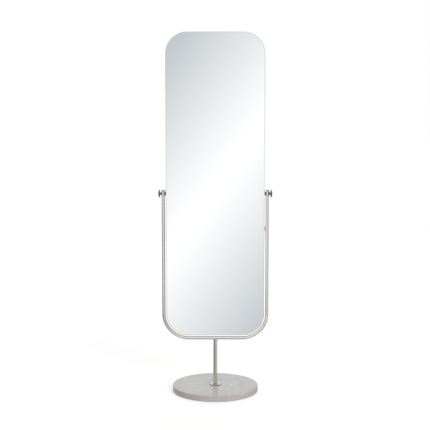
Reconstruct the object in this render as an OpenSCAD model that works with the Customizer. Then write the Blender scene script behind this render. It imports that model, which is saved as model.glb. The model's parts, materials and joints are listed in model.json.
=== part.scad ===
// Rolling floor mirror: a tall mirror with round corners that swings between the arms
// of a bent tube yoke, on one slim post and a round stone foot.
// Millimetres. +Z is up and the glass faces -Y. The origin is on the floor, under the post.

/* [Mirror] */
// Width of the mirror over its frame
mirror_w = 400; // [340:5:460]
// Height of the mirror over its frame
mirror_h = 1235; // [1050:5:1400]
// Radius of the frame's outer corners
corner_r = 88; // [70:1:110]
// Height of the mirror's lower edge above the floor
mirror_lift = 235; // [200:1:320]
// Height of the pivots above the mirror's lower edge
pivot_rise = 585; // [500:1:600]

/* [Frame and back] */
// Depth of the frame from front to back
frame_d = 20; // [19:0.5:26]
// Thickness of the frame's outer wall
frame_wall = 1.5; // [1:0.1:2]
// Width of the front lip that shows round the glass
front_lip_w = 3.5; // [3:0.1:5]
// Width of the rear lip
rear_lip_w = 6; // [5:0.5:7]
// Thickness of both lips
lip_t = 1.2; // [0.8:0.1:1.4]
// Thickness of the glass
glass_t = 4; // [3:0.5:4]
// Thickness of the safety film behind the glass
film_t = 0.3; // [0.2:0.05:0.4]
// Thickness of the foam sheet
foam_t = 2.5; // [1.5:0.5:3]
// Thickness of the backing board
board_t = 5; // [3:0.5:5]

/* [Yoke] */
// Outer diameter of the yoke tube
tube_d = 14; // [14:0.5:16]
// Wall thickness of the yoke tube
tube_wall = 1.5; // [1.2:0.1:1.5]
// Gap between the frame and each arm
side_gap = 4; // [3.5:0.5:8]
// Gap between the frame and the bottom bar
bottom_gap = 6; // [5:0.5:10]
// Height of the arm ends above the pivots
arm_rise = 13; // [12:0.5:20]

/* [Post and foot] */
// Outer diameter of the post
post_d = 16; // [16:0.5:20]
// Wall thickness of the post
post_wall = 1.5; // [1.2:0.1:1.5]
// Diameter of the stone foot
base_d = 350; // [300:5:400]
// Thickness of the stone foot
stone_t = 24; // [20:1:30]
// Thickness of the pad under the stone
pad_t = 1.5; // [1:0.5:1.5]
// Diameter of the flange at the foot of the post
flange_d = 48; // [40:1:60]
// Thickness of the flange
flange_t = 3; // [2:0.5:4]

/* [Pivots and knobs] */
// Diameter of the threaded studs
stud_d = 6; // [5:0.5:6]
// Diameter of the spacers between frame and arms
spacer_d = 16; // [12:1:18]
// Diameter of the knobs
knob_d = 30; // [24:1:36]
// Thickness of a knob's disc
knob_t = 6; // [5:0.5:8]
// Length of a knob's neck
neck_l = 4; // [3:0.5:8]

/* [Hidden] */
$fn = 96;

LEFT = -1;
RIGHT = 1;
// Slack between pieces that are fixed together, and between a shaft and its bore
fix_gap = 0.05;
run_gap = 0.08;
// By how much a plain hole is wider than the screw or stud that passes it
hole_slack = 0.4;
// Slack round what is laid into the frame
slip = 0.1;
// Length by which a cutting tool runs past what it cuts
over = 1;

// Heights above the floor
stone_top = pad_t + stone_t;
post_bottom = stone_top + flange_t;
bar_z = mirror_lift - bottom_gap - tube_d / 2;
pivot_z = mirror_lift + pivot_rise;
arm_top = pivot_z + arm_rise;
mirror_mid_z = mirror_lift + mirror_h / 2;

// Yoke: distance of each arm's centreline from the middle, and the bends' centreline radius
arm_x = mirror_w / 2 + side_gap + tube_d / 2;
bend_r = corner_r + (side_gap + bottom_gap) / 2 + tube_d / 2;
arm_outer_x = arm_x + tube_d / 2;

// Joint between post and yoke: a turned boss under the bar, with a threaded stud below it
boss_below_bar = 6;
boss_cope = 3;
bar_bottom = bar_z - tube_d / 2;
post_top = bar_bottom - boss_below_bar;
boss_top = bar_bottom + boss_cope;
yoke_stud_d = 8;
yoke_stud_l = 24;
plug_d = post_d - 2 * post_wall - 2 * fix_gap;
top_plug_l = 26;
foot_plug_l = 30;

// Fastening of the foot: bolt, lock washer and washer in a counterbore under the stone
bolt_d = 10;
bolt_hole_d = 11;
bolt_hex = 17;
bolt_head_h = 6.4;
bolt_shank_l = 48;
pocket_d = 50;
pocket_h = 12;
washer_d = 44;
washer_t = 3;
lock_washer_d = 17.4;
lock_washer_t = 2.2;
washer_z = pad_t + pocket_h - washer_t;
bolt_head_z = washer_z - lock_washer_t - bolt_head_h;
stone_ease = 1.5;
pad_inset = 5;
pad_hole_d = 60;

// The mirror is modelled on its back with the glass up (+Z), and then stood up
front_z = frame_d / 2;
back_z = -frame_d / 2;
glass_top = front_z - lip_t;
film_top = glass_top - glass_t;
foam_top = film_top - film_t;
board_top = foam_top - foam_t;
board_back = board_top - board_t;
stack_inset = frame_wall + 2 * slip;
pivot_y = pivot_z - mirror_mid_z;

// Pivot blocks in the frame's sides, and the notch that the board and foam leave for them
block_w = 12;
block_l = 40;
block_inset = frame_wall + slip;
notch_gap = 0.5;
block_screw_inset = 4;
block_screw_y = 14;
block_screw_d = 3;
block_screw_l = 9;
screw_head_h = 1.4;

// Splice bar inside the frame's bottom run, where the bent profile's two ends meet
seam_w = 0.2;
splice_l = 80;
splice_w = 5.6;
splice_screw_x = 24;
splice_screw_d = 4;
splice_screw_inset = 4.2;

// Spring clips between board and rear lip
clip_t = 0.6;
clip_w = 14;
side_clip_y = [-440, -200, 150, 420];
end_clip_x = 72;

// Pivots and knobs, as distances from the middle of the mirror
spacer_clear = 0.4;
spacer_l = side_gap - spacer_clear;
knob_washer_d = 13;
knob_washer_t = 1.2;
knob_washer_clear = 0.3;
knob_washer_x = arm_outer_x + knob_washer_clear;
neck_x = knob_washer_x + knob_washer_t + slip;
disc_x = neck_x + neck_l;
knob_end_x = disc_x + knob_t;
neck_d = 10;
knob_ease = 1.5;
dome_d = 12;
dome_h = 2;
dome_stem_l = 2.2;
dome_stem_gap = 0.4;
stud_grip = 12;
stud_start_x = mirror_w / 2 - stud_grip;
stud_end_x = knob_end_x - dome_stem_l - dome_stem_gap;
bush_d = 9.9;

// Domed plugs in the arm ends
cap_rim = 0.7;
cap_rise = 2.3;
cap_stem_l = 6.5;

// Soft bumper on the right arm
bumper_drop = 143;
bumper_h = 16;
bumper_w = 8;
bumper_clear = 0.5;

// ---- shared shapes ----

// A turned piece on a horizontal axle: its own +Z points away from the mirror
module outboard(side, x) {
    translate([side * x, 0, pivot_z])
        rotate([0, side * 90, 0])
            children();
}

// A ring or a disc, standing on z = 0
module ring(d, hole_d, h) {
    difference() {
        cylinder(d = d, h = h);
        translate([0, 0, -over])
            cylinder(d = hole_d, h = h + 2 * over);
    }
}

// A quarter of a circle's outline, as points from angle a0 to a0 + 90
function quarter(cx, cy, r, a0, steps = 8) =
    [for (i = [0 : steps]) [cx + r * cos(a0 + 90 * i / steps), cy + r * sin(a0 + 90 * i / steps)]];

// Puts what was modelled on its back into its place between the arms
module stand_up() {
    translate([0, 0, mirror_mid_z])
        rotate([90, 0, 0])
            children();
}

// A sheet with round corners, whose edge lies inset from the frame's outside
module panel(inset, z_top, t) {
    w = mirror_w - 2 * inset;
    h = mirror_h - 2 * inset;
    r = corner_r - inset;
    translate([0, 0, z_top - t]) {
        translate([-w / 2, -h / 2 + r, 0])
            cube([w, h - 2 * r, t]);
        for (turn = [0, 180]) rotate(turn)
            translate([-w / 2 + r, h / 2 - r, 0])
                cube([w - 2 * r, r, t]);
        for (sx = [LEFT, RIGHT], sy = [-1, 1])
            translate([sx * (w / 2 - r), sy * (h / 2 - r), 0])
                rotate(sx == sy ? (sx > 0 ? 0 : 180) : (sx < 0 ? 90 : 270))
                    rotate_extrude(angle = 90)
                        square([r, t]);
    }
}

// The room that board and foam leave round each pivot block
module block_notches() {
    w = block_inset + block_w + notch_gap;
    for (side = [LEFT, RIGHT])
        translate([side * (mirror_w / 2 - w / 2), pivot_y, 0])
            cube([w, block_l + 2 * notch_gap, 2 * frame_d], center = true);
}

// The yoke's bent run as a solid rod: arm, bend, bar, bend, arm
module yoke_run(d, past_end = 0) {
    arm_bottom = bar_z + bend_r;
    bar_half = arm_x - bend_r;
    translate([-bar_half, 0, bar_z])
        rotate([0, 90, 0])
            cylinder(d = d, h = 2 * bar_half);
    for (side = [LEFT, RIGHT]) {
        translate([side * arm_x, 0, arm_bottom])
            cylinder(d = d, h = arm_top + past_end - arm_bottom);
        translate([side * bar_half, 0, arm_bottom])
            rotate([90, 0, 0])
                rotate(side > 0 ? 270 : 180)
                    rotate_extrude(angle = 90)
                        translate([bend_r, 0])
                            circle(d = d);
    }
}

// ---- foot ----

module base_pad() {
    color("#5a5854")
        ring(base_d - 2 * pad_inset, pad_hole_d, pad_t);
}

module base_disc() {
    r = base_d / 2;
    e = stone_ease;
    bottom = quarter(r - e, pad_t + e, e, 270);
    top = quarter(r - e, stone_top - e, e, 0);
    roof = pad_t + pocket_h;
    color("#c5c2c1")
        rotate_extrude($fn = 180)
            polygon(concat(
                [[bolt_hole_d / 2, roof], [pocket_d / 2, roof], [pocket_d / 2, pad_t]],
                bottom, top, [[bolt_hole_d / 2, stone_top]]));
}

module base_washer() {
    color("#b9b9b6")
        translate([0, 0, washer_z])
            ring(washer_d, bolt_d + hole_slack, washer_t);
}

module base_lock_washer() {
    slit = 1.6;
    color("#9a9a98")
        translate([0, 0, washer_z - lock_washer_t])
            difference() {
                ring(lock_washer_d, bolt_d + hole_slack, lock_washer_t);
                translate([0, -slit / 2, -over])
                    cube([lock_washer_d, slit, lock_washer_t + 2 * over]);
            }
}

module base_bolt() {
    color("#a8a8a6")
        translate([0, 0, bolt_head_z]) {
            cylinder(d = bolt_hex / cos(30), h = bolt_head_h, $fn = 6);
            translate([0, 0, bolt_head_h])
                cylinder(d = bolt_d, h = bolt_shank_l);
        }
}

module base_flange() {
    e = 1;
    hole_r = (bolt_d + hole_slack) / 2;
    color("#cfccc6")
        translate([0, 0, stone_top])
            rotate_extrude()
                polygon(concat(
                    [[hole_r, 0], [flange_d / 2, 0]],
                    quarter(flange_d / 2 - e, flange_t - e, e, 0),
                    [[hole_r, flange_t]]));
}

// ---- post ----

module post_tube() {
    color("#b8b4ae")
        translate([0, 0, post_bottom])
            ring(post_d, post_d - 2 * post_wall, post_top - post_bottom);
}

module post_foot_plug() {
    color("#8f8f8d")
        translate([0, 0, post_bottom])
            ring(plug_d, bolt_d + 2 * run_gap, foot_plug_l);
}

module post_top_plug() {
    color("#8f8f8d")
        translate([0, 0, post_top - top_plug_l - fix_gap])
            ring(plug_d, yoke_stud_d + 2 * run_gap, top_plug_l);
}

// ---- yoke ----

module yoke_stud() {
    color("#b8b4ae")
        difference() {
            union() {
                translate([0, 0, post_top - yoke_stud_l])
                    cylinder(d = yoke_stud_d, h = yoke_stud_l);
                translate([0, 0, post_top])
                    cylinder(d = post_d, h = boss_top - post_top);
            }
            translate([-post_d, 0, bar_z])
                rotate([0, 90, 0])
                    cylinder(d = tube_d + 2 * fix_gap, h = 2 * post_d);
        }
}

module yoke_tube() {
    color("#c3bfb8")
        difference() {
            yoke_run(tube_d);
            yoke_run(tube_d - 2 * tube_wall, over);
            for (side = [LEFT, RIGHT])
                outboard(side, arm_x - tube_d)
                    cylinder(d = bush_d + 2 * fix_gap, h = 2 * tube_d);
        }
}

// A domed plug in an arm's end
module tube_cap(side) {
    stem_r = tube_d / 2 - tube_wall - fix_gap;
    r = tube_d / 2;
    dome = cap_rise - cap_rim;
    step = 9;
    color("#73716e")
        translate([side * arm_x, 0, arm_top])
            rotate_extrude()
                polygon(concat(
                    [[0, -cap_stem_l], [stem_r, -cap_stem_l], [stem_r, 0], [r, 0]],
                    [for (a = [0 : step : 90]) [r * cos(a), cap_rim + dome * sin(a)]]));
}

module left_tube_cap() {
    tube_cap(LEFT);
}

module right_tube_cap() {
    tube_cap(RIGHT);
}

// A plain bush across an arm, with its ends cut to the tube's own curve
module pivot_bush(side) {
    color("#e4e2dc")
        difference() {
            intersection() {
                outboard(side, arm_x - tube_d)
                    cylinder(d = bush_d, h = 2 * tube_d);
                translate([side * arm_x, 0, pivot_z - tube_d])
                    cylinder(d = tube_d, h = 2 * tube_d);
            }
            outboard(side, arm_x - tube_d - over)
                cylinder(d = stud_d + 2 * run_gap, h = 2 * tube_d + 2 * over);
        }
}

module left_pivot_bush() {
    pivot_bush(LEFT);
}

module right_pivot_bush() {
    pivot_bush(RIGHT);
}

module side_bumper() {
    front_x = mirror_w / 2 + bumper_clear;
    color("#9b9b99")
        difference() {
            translate([front_x, -bumper_w / 2, pivot_z - bumper_drop - bumper_h / 2])
                cube([arm_x - tube_d / 4 - front_x, bumper_w, bumper_h]);
            translate([arm_x, 0, pivot_z - bumper_drop - bumper_h])
                cylinder(d = tube_d + 2 * fix_gap, h = 2 * bumper_h);
        }
}

// ---- mirror ----

// Section of the frame: outer wall at x = 0, lips running inwards to -x
module frame_section() {
    polygon([
        [0, back_z], [0, front_z], [-front_lip_w, front_z], [-front_lip_w, front_z - lip_t],
        [-frame_wall, front_z - lip_t], [-frame_wall, back_z + lip_t],
        [-rear_lip_w, back_z + lip_t], [-rear_lip_w, back_z]
    ]);
}

// One straight side of the frame, at distance x from the middle
module frame_side(x, run) {
    translate([x, run / 2, 0])
        rotate([90, 0, 0])
            linear_extrude(run)
                frame_section();
}

module frame_loop() {
    cx = mirror_w / 2 - corner_r;
    cy = mirror_h / 2 - corner_r;
    for (turn = [0, 180]) rotate(turn) {
        frame_side(mirror_w / 2, 2 * cy);
        rotate(90)
            frame_side(mirror_h / 2, 2 * cx);
        translate([cx, cy, 0])
            rotate_extrude(angle = 90)
                translate([corner_r, 0])
                    frame_section();
        translate([-cx, cy, 0])
            rotate(90)
                rotate_extrude(angle = 90)
                    translate([corner_r, 0])
                        frame_section();
    }
}

module mirror_frame() {
    color("#aeb0b0")
        stand_up()
            difference() {
                frame_loop();
                translate([-seam_w / 2, -mirror_h / 2 - over, -frame_d])
                    cube([seam_w, rear_lip_w + 2 * over, 2 * frame_d]);
                for (side = [LEFT, RIGHT]) {
                    translate([side * (mirror_w / 2 - 2 * frame_wall), pivot_y, 0])
                        rotate([0, side * 90, 0])
                            cylinder(d = stud_d + hole_slack, h = 4 * frame_wall);
                    block_screw_places(side)
                        cylinder(d = block_screw_d + hole_slack, h = 2 * (lip_t + over), center = true);
                    translate([side * splice_screw_x, splice_screw_inset - mirror_h / 2, back_z])
                        cylinder(d = splice_screw_d + hole_slack, h = 2 * (lip_t + over), center = true);
                }
            }
}

module mirror_glass() {
    color("#dfe6ea")
        stand_up()
            panel(stack_inset, glass_top, glass_t);
}

module safety_film() {
    color("#7d8388")
        stand_up()
            panel(stack_inset + 1, film_top, film_t);
}

module foam_sheet() {
    color("#e8e8e4")
        stand_up()
            difference() {
                panel(stack_inset + 1, foam_top, foam_t);
                block_notches();
            }
}

module backing_board() {
    color("#3c3a38")
        stand_up()
            difference() {
                panel(stack_inset, board_top, board_t);
                block_notches();
            }
}

// Where the two screws of one pivot block go through the rear lip
module block_screw_places(side) {
    for (sy = [-1, 1])
        translate([side * (mirror_w / 2 - block_screw_inset), pivot_y + sy * block_screw_y, back_z])
            children();
}

module pivot_block(side) {
    back = back_z + lip_t + fix_gap;
    front = foam_top - fix_gap;
    color("#a5a6a6")
        stand_up()
            difference() {
                translate([side * (mirror_w / 2 - block_inset - block_w / 2), pivot_y, (back + front) / 2])
                    cube([block_w, block_l, front - back], center = true);
                translate([side * (mirror_w / 2 - 2 * block_w), pivot_y, 0])
                    rotate([0, side * 90, 0])
                        cylinder(d = stud_d + 2 * run_gap, h = 3 * block_w);
                block_screw_places(side)
                    cylinder(d = block_screw_d + 2 * fix_gap, h = block_screw_l + 1);
            }
}

module left_pivot_block() {
    pivot_block(LEFT);
}

module right_pivot_block() {
    pivot_block(RIGHT);
}

// A pan-head screw that points to the front: its head lies behind the rear lip
module rear_screw(d, l) {
    cylinder(d = d, h = l);
    translate([0, 0, -screw_head_h])
        cylinder(d = 1.8 * d, h = screw_head_h);
}

module pivot_block_screws() {
    color("#8c8c8a")
        stand_up()
            for (side = [LEFT, RIGHT])
                block_screw_places(side)
                    rear_screw(block_screw_d, block_screw_l);
}

module frame_splice() {
    back = back_z + lip_t + fix_gap;
    front = board_back - fix_gap;
    color("#a5a6a6")
        stand_up()
            difference() {
                translate([-splice_l / 2, block_inset - mirror_h / 2, back])
                    cube([splice_l, splice_w, front - back]);
                for (side = [LEFT, RIGHT])
                    translate([side * splice_screw_x, splice_screw_inset - mirror_h / 2, back - over])
                        cylinder(d = splice_screw_d + 2 * fix_gap, h = front - back + 2 * over);
            }
}

module splice_screws() {
    color("#8c8c8a")
        stand_up()
            for (side = [LEFT, RIGHT])
                translate([side * splice_screw_x, splice_screw_inset - mirror_h / 2, back_z])
                    rear_screw(splice_screw_d, board_back - back_z - 0.5);
}

// A bowed strip: one end under the rear lip, the other pressing on the board
module spring_clip() {
    lip = back_z + lip_t + fix_gap;
    foot = board_back - fix_gap;
    start = frame_wall + 0.7;
    heel = start + 5.5;
    toe = heel + 6.5;
    tip = toe + 5;
    curl = 2;
    rotate([90, 0, 0])
        linear_extrude(clip_w, center = true)
            polygon([
                [-start, lip], [-heel - clip_t / 2, lip], [-toe - clip_t / 2, foot - clip_t],
                [-tip, foot - clip_t], [-tip - curl, foot - clip_t - 0.8 * curl],
                [-tip - curl - clip_t, foot - 0.8 * curl], [-tip - clip_t / 2, foot],
                [-toe, foot], [-heel, lip + clip_t], [-start, lip + clip_t]
            ]);
}

module spring_clips() {
    color("#b4b4b0")
        stand_up()
            for (turn = [0, 180]) rotate(turn) {
                for (y = side_clip_y)
                    translate([mirror_w / 2, turn == 0 ? y : -y, 0])
                        spring_clip();
                for (sx = [LEFT, RIGHT])
                    translate([sx * end_clip_x, mirror_h / 2, 0])
                        rotate(90)
                            spring_clip();
            }
}

// ---- pivots and knobs ----

module spacer(side) {
    color("#605e5b")
        outboard(side, mirror_w / 2)
            ring(spacer_d, stud_d + hole_slack, spacer_l);
}

module left_spacer() {
    spacer(LEFT);
}

module right_spacer() {
    spacer(RIGHT);
}

module knob_washer(side) {
    color("#55534f")
        outboard(side, knob_washer_x)
            ring(knob_washer_d, stud_d + hole_slack, knob_washer_t);
}

// A turned disc with eased edges on a short neck, bored for the stud
module knob(side) {
    r = knob_d / 2;
    e = knob_ease;
    bore_r = stud_d / 2 + fix_gap;
    color("#85827d")
        outboard(side, neck_x)
            rotate_extrude()
                polygon(concat(
                    [[bore_r, 0], [neck_d / 2, 0], [neck_d / 2, neck_l]],
                    quarter(r - e, neck_l + e, e, 270),
                    quarter(r - e, neck_l + knob_t - e, e, 0),
                    [[bore_r, neck_l + knob_t]]));
}

module knob_stud(side) {
    color("#8c8c8a")
        outboard(side, stud_start_x)
            cylinder(d = stud_d, h = stud_end_x - stud_start_x);
}

// A domed plug over the stud's end
module knob_cap(side) {
    stem_r = stud_d / 2 - fix_gap;
    r = dome_d / 2;
    step = 9;
    color("#85827d")
        outboard(side, knob_end_x)
            rotate_extrude()
                polygon(concat(
                    [[0, -dome_stem_l], [stem_r, -dome_stem_l], [stem_r, 0]],
                    [for (a = [0 : step : 90]) [r * cos(a), dome_h * sin(a)]]));
}

module left_knob_washer() {
    knob_washer(LEFT);
}

module left_knob() {
    knob(LEFT);
}

module left_knob_stud() {
    knob_stud(LEFT);
}

module left_knob_cap() {
    knob_cap(LEFT);
}

module right_knob_washer() {
    knob_washer(RIGHT);
}

module right_knob() {
    knob(RIGHT);
}

module right_knob_stud() {
    knob_stud(RIGHT);
}

module right_knob_cap() {
    knob_cap(RIGHT);
}

base_pad();
base_disc();
base_washer();
base_lock_washer();
base_bolt();
base_flange();
post_tube();
post_foot_plug();
post_top_plug();
yoke_stud();
yoke_tube();
left_tube_cap();
right_tube_cap();
left_pivot_bush();
right_pivot_bush();
side_bumper();
mirror_frame();
mirror_glass();
safety_film();
foam_sheet();
backing_board();
left_pivot_block();
right_pivot_block();
pivot_block_screws();
spring_clips();
frame_splice();
splice_screws();
left_spacer();
right_spacer();
left_knob_washer();
left_knob();
left_knob_stud();
left_knob_cap();
right_knob_washer();
right_knob();
right_knob_stud();
right_knob_cap();
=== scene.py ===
import json
import math
import bmesh
import bpy
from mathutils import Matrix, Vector


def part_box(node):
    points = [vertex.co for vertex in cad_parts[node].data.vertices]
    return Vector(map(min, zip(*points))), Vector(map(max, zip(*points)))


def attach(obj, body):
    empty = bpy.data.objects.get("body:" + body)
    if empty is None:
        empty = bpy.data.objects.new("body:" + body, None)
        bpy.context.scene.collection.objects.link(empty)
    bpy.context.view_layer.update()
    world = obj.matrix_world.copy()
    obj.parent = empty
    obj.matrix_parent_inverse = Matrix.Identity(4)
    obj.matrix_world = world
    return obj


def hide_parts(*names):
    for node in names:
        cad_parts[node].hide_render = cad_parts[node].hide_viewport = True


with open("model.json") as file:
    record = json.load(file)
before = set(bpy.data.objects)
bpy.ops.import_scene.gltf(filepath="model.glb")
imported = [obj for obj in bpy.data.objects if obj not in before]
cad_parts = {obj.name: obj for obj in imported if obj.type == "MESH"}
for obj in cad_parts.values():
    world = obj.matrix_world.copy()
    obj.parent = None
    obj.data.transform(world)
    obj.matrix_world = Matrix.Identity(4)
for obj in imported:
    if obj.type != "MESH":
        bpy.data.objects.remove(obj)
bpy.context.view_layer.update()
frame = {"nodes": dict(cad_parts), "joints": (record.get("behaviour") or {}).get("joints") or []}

# ---- Camera ----
# It stands about five metres in front of the glass at the height of the mirror's upper part,
# and looks slightly down through a long lens.
camera_distance = 4.934
camera_height = 1.418
camera_tilt = math.radians(90 - 7.91)
camera_lens = 102.7
camera_shift = -0.0007
bpy.ops.object.select_all(action="DESELECT")
bpy.ops.object.camera_add(location=(0, -camera_distance, camera_height), rotation=(camera_tilt, 0, 0))
camera = bpy.context.object
camera.data.lens = camera_lens
camera.data.shift_x = camera_shift
bpy.context.scene.camera = camera
bpy.context.scene.view_settings.view_transform = "Standard"


# ---- Studio ----
# A white room. Its walls light the mirror evenly, and what polished surfaces show of it is a soft
# grey sweep behind the camera, with one bright band across it, and walls with darker screens.
def add_node(tree, kind, inputs=None, **settings):
    """One node. Each input takes a number, a colour, a vector or another node's output."""
    made = tree.nodes.new(kind)
    for name, value in settings.items():
        setattr(made, name, value)
    for name, value in (inputs or {}).items():
        socket = made.inputs[name]
        if isinstance(value, bpy.types.NodeSocket):
            tree.links.new(value, socket)
        elif socket.type == "RGBA":
            socket.default_value = (*value, 1)
        else:
            socket.default_value = value
    return made


def feed(kind, inputs, **settings):
    """A node that takes other nodes' outputs, in the tree that they belong to."""
    tree = next(value.id_data for value in inputs.values() if isinstance(value, bpy.types.NodeSocket))
    return add_node(tree, kind, inputs, **settings)


def maths(operation, *values):
    """A sum, product or other result of one to three values."""
    return feed("ShaderNodeMath", dict(enumerate(values)), operation=operation).outputs[0]


def reach_along(first, second):
    """How far the first vector reaches along the second, times its length."""
    return feed("ShaderNodeVectorMath", {0: first, 1: second}, operation="DOT_PRODUCT").outputs["Value"]


def ramp(value, *stops):
    """A colour that passes through the stops, each a position from 0 to 1 and a colour or a grey."""
    made = feed("ShaderNodeValToRGB", {"Fac": value})
    steps = made.color_ramp.elements
    while len(steps) < len(stops):
        steps.new(0.5)
    for step, (position, colour) in zip(steps, stops):
        grey = isinstance(colour, (int, float))
        step.position = position
        step.color = (colour, colour, colour, 1) if grey else (*colour, 1)
    return made.outputs["Color"]


def blend_colours(share, first, second):
    """The first colour, going over to the second as the share goes from 0 to 1."""
    return feed("ShaderNodeMix", {0: share, 6: first, 7: second}, data_type="RGBA").outputs[2]


def over_range(value, start, end):
    """Goes softly from 0 to 1 as the value goes from the start to the end."""
    inputs = {0: value, 1: start, 2: end}
    return feed("ShaderNodeMapRange", inputs, interpolation_type="SMOOTHSTEP").outputs[0]


def ray_kinds(tree):
    """Two shares: 1 on a ray that the eye sees, straight or through glass, and 1 on a mirrored one."""
    ray = add_node(tree, "ShaderNodeLightPath").outputs
    return maths("MAXIMUM", ray["Is Camera Ray"], ray["Is Transmission Ray"]), ray["Is Glossy Ray"]


def mix_shaders(share, first, second):
    """The first shader, going over to the second as the share goes from 0 to 1."""
    return feed("ShaderNodeMixShader", {0: share, 1: first, 2: second}).outputs[0]


white = (1, 1, 1)
room = bpy.data.worlds.new("white_room")
bpy.context.scene.world = room
room.use_nodes = True
air = room.node_tree
air.nodes.clear()
direction = add_node(air, "ShaderNodeTexCoord").outputs["Generated"]
axes = feed("ShaderNodeSeparateXYZ", {0: direction}).outputs

# The sweep behind the camera: how far a direction lies from the plane of the bright band
band_plane = (1.354, 0.118, -1.0)
band_reach = 0.21
off_band = maths("ABSOLUTE", reach_along(direction, band_plane))
off_band = maths("DIVIDE", off_band, band_reach)
sweep = ramp(
    off_band,
    (0.0, 1.0), (0.06, 1.0), (0.76, (0.560, 0.590, 0.615)), (1.0, (0.45, 0.475, 0.50)))

# The walls, as a turn round the room from behind the object (0) over its left (0.25), the front (0.5)
# and its right (0.75): a dark screen at the left, and grey ones at the front right and the back right
round_room = maths("ARCTAN2", axes["X"], maths("MULTIPLY", axes["Y"], -1.0))
round_room = maths("MULTIPLY_ADD", round_room, 0.5 / math.pi, 0.5)
walls = ramp(
    round_room,
    (0.00, 0.90), (0.10, 0.72), (0.18, 0.42), (0.25, 0.16), (0.335, 0.12), (0.362, 0.98), (0.48, 0.98),
    (0.54, 0.68), (0.58, 0.50), (0.65, 0.52), (0.69, 0.82), (0.76, 0.78), (0.81, 0.46), (0.90, 0.46),
    (1.00, 0.90))
low_walls = ramp(
    round_room,
    (0.00, 0.45), (0.10, 0.50), (0.25, 0.40), (0.32, 0.24), (0.42, 0.24), (0.50, 0.40), (0.60, 0.64),
    (0.70, 0.76), (0.80, 0.48), (0.90, 0.30), (1.00, 0.45))

# What takes the walls' place lower down and higher up. Heights are the upward part of a direction
far_floor, near_floor, ceiling = (0.45, 0.445, 0.44), (0.74, 0.735, 0.73), (0.92, 0.92, 0.92)
surroundings = walls
for start, end, shown in (
        (-0.175, -0.238, low_walls), (-0.34, -0.55, far_floor), (-0.45, -0.95, near_floor),
        (0.25, 0.70, ceiling)):
    surroundings = blend_colours(over_range(axes["Z"], start, end), surroundings, shown)

sweep_middle = (0.0, -0.993, -0.115)
sweep_edge, sweep_inside = 0.9816, 0.9912
sweep_foot, sweep_foot_inside = -0.243, -0.233
in_sweep = over_range(reach_along(direction, sweep_middle), sweep_edge, sweep_inside)
in_sweep = maths("MULTIPLY", in_sweep, over_range(axes["Z"], sweep_foot, sweep_foot_inside))
mirrored = blend_colours(in_sweep, surroundings, sweep)


def glow(colour, strength=1.0):
    """Light of one colour, or of one pattern of colours, from the whole room."""
    return add_node(air, "ShaderNodeBackground", {"Color": colour, "Strength": strength}).outputs[0]


ambient = (0.62, 0.62, 0.62)
mirrored_strength = 1.08
to_eye, to_gloss = ray_kinds(air)
lighting = mix_shaders(to_gloss, glow(ambient), glow(mirrored, mirrored_strength))
room_shown = mix_shaders(to_eye, lighting, glow(white))
feed("ShaderNodeOutputWorld", {"Surface": room_shown})

# The floor keeps the shadow, is lifted to white for the eye, and shows in no reflection
floor_size = 24.0
floor_colour = (0.62, 0.612, 0.610)
lift_near, lift_far = 0.445, 0.67
lift_start, lift_end = 1.0, 6.5
bpy.ops.mesh.primitive_plane_add(size=floor_size)
floor = bpy.context.object
floor.name = "floor"
floor_paint = bpy.data.materials.new("white_floor")
floor_paint.use_nodes = True
ground = floor_paint.node_tree
ground.nodes.clear()
floor_spot = add_node(ground, "ShaderNodeTexCoord").outputs["Object"]
from_foot = feed("ShaderNodeVectorMath", {0: floor_spot}, operation="LENGTH").outputs["Value"]
lift = over_range(from_foot, lift_start, lift_end)
lift = maths("MULTIPLY_ADD", lift, lift_far - lift_near, lift_near)
matte = add_node(ground, "ShaderNodeBsdfDiffuse", {"Color": floor_colour}).outputs[0]
gleam = add_node(ground, "ShaderNodeEmission", {"Color": white, "Strength": lift}).outputs[0]
lifted = feed("ShaderNodeAddShader", {0: matte, 1: gleam}).outputs[0]
clear = add_node(ground, "ShaderNodeBsdfTransparent").outputs[0]
to_eye, to_gloss = ray_kinds(ground)
floor_shown = mix_shaders(to_gloss, mix_shaders(to_eye, matte, lifted), clear)
feed("ShaderNodeOutputMaterial", {"Surface": floor_shown})
floor.data.materials.append(floor_paint)


def hang_lamp(name, place, aim_height, power, tint=white):
    """A square soft lamp that shines towards the post's axis and shows in no reflection."""
    bpy.ops.object.light_add(type="AREA", location=place)
    lamp = bpy.context.object
    lamp.name = name
    lamp.data.size = lamp_width
    lamp.data.energy = power
    lamp.data.color = tint
    lamp.rotation_euler = (Vector((0, 0, aim_height)) - Vector(place)).to_track_quat("-Z", "Y").to_euler()
    lamp.visible_glossy = False


lamp_width = 2.0
hang_lamp("key_lamp", (2.2, -3.4, 1.7), 0.4, 105, (1.0, 0.985, 0.955))
hang_lamp("fill_lamp", (-2.8, -1.8, 1.8), 0.6, 14)
hang_lamp("back_lamp", (0.4, 3.0, 2.6), 0.7, 45)


# ---- Pad under the stone ----
# A ring of dark pressed felt, cut from a sheet and glued to the stone's underside a little in
# from its edge, so that the stone doesn't scratch the floor.
def new_material(name, **sockets):
    """A material with the shader's own sockets set: words joined by _ name a socket."""
    material = bpy.data.materials.new(name)
    material.use_nodes = True
    shader = material.node_tree.nodes["Principled BSDF"]
    for key, value in sockets.items():
        shader.inputs[key.replace("_", " ")].default_value = value
    return material


def where_on(material, source="Object"):
    """Where each point of a piece lies as it is made, or with UV on its skin laid out flat."""
    return add_node(material.node_tree, "ShaderNodeTexCoord").outputs[source]


def grain(material, scale, detail=3.0, stretch=(1, 1, 1), turn=(0, 0, 0), source="Object", warp=0.0):
    """Cloudy noise fixed to the piece, with about scale clouds to the metre."""
    inputs = {"Vector": where_on(material, source), "Rotation": turn, "Scale": stretch}
    place = feed("ShaderNodeMapping", inputs).outputs[0]
    inputs = {"Vector": place, "Scale": scale, "Detail": detail, "Distortion": warp}
    return feed("ShaderNodeTexNoise", inputs).outputs["Fac"]


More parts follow.
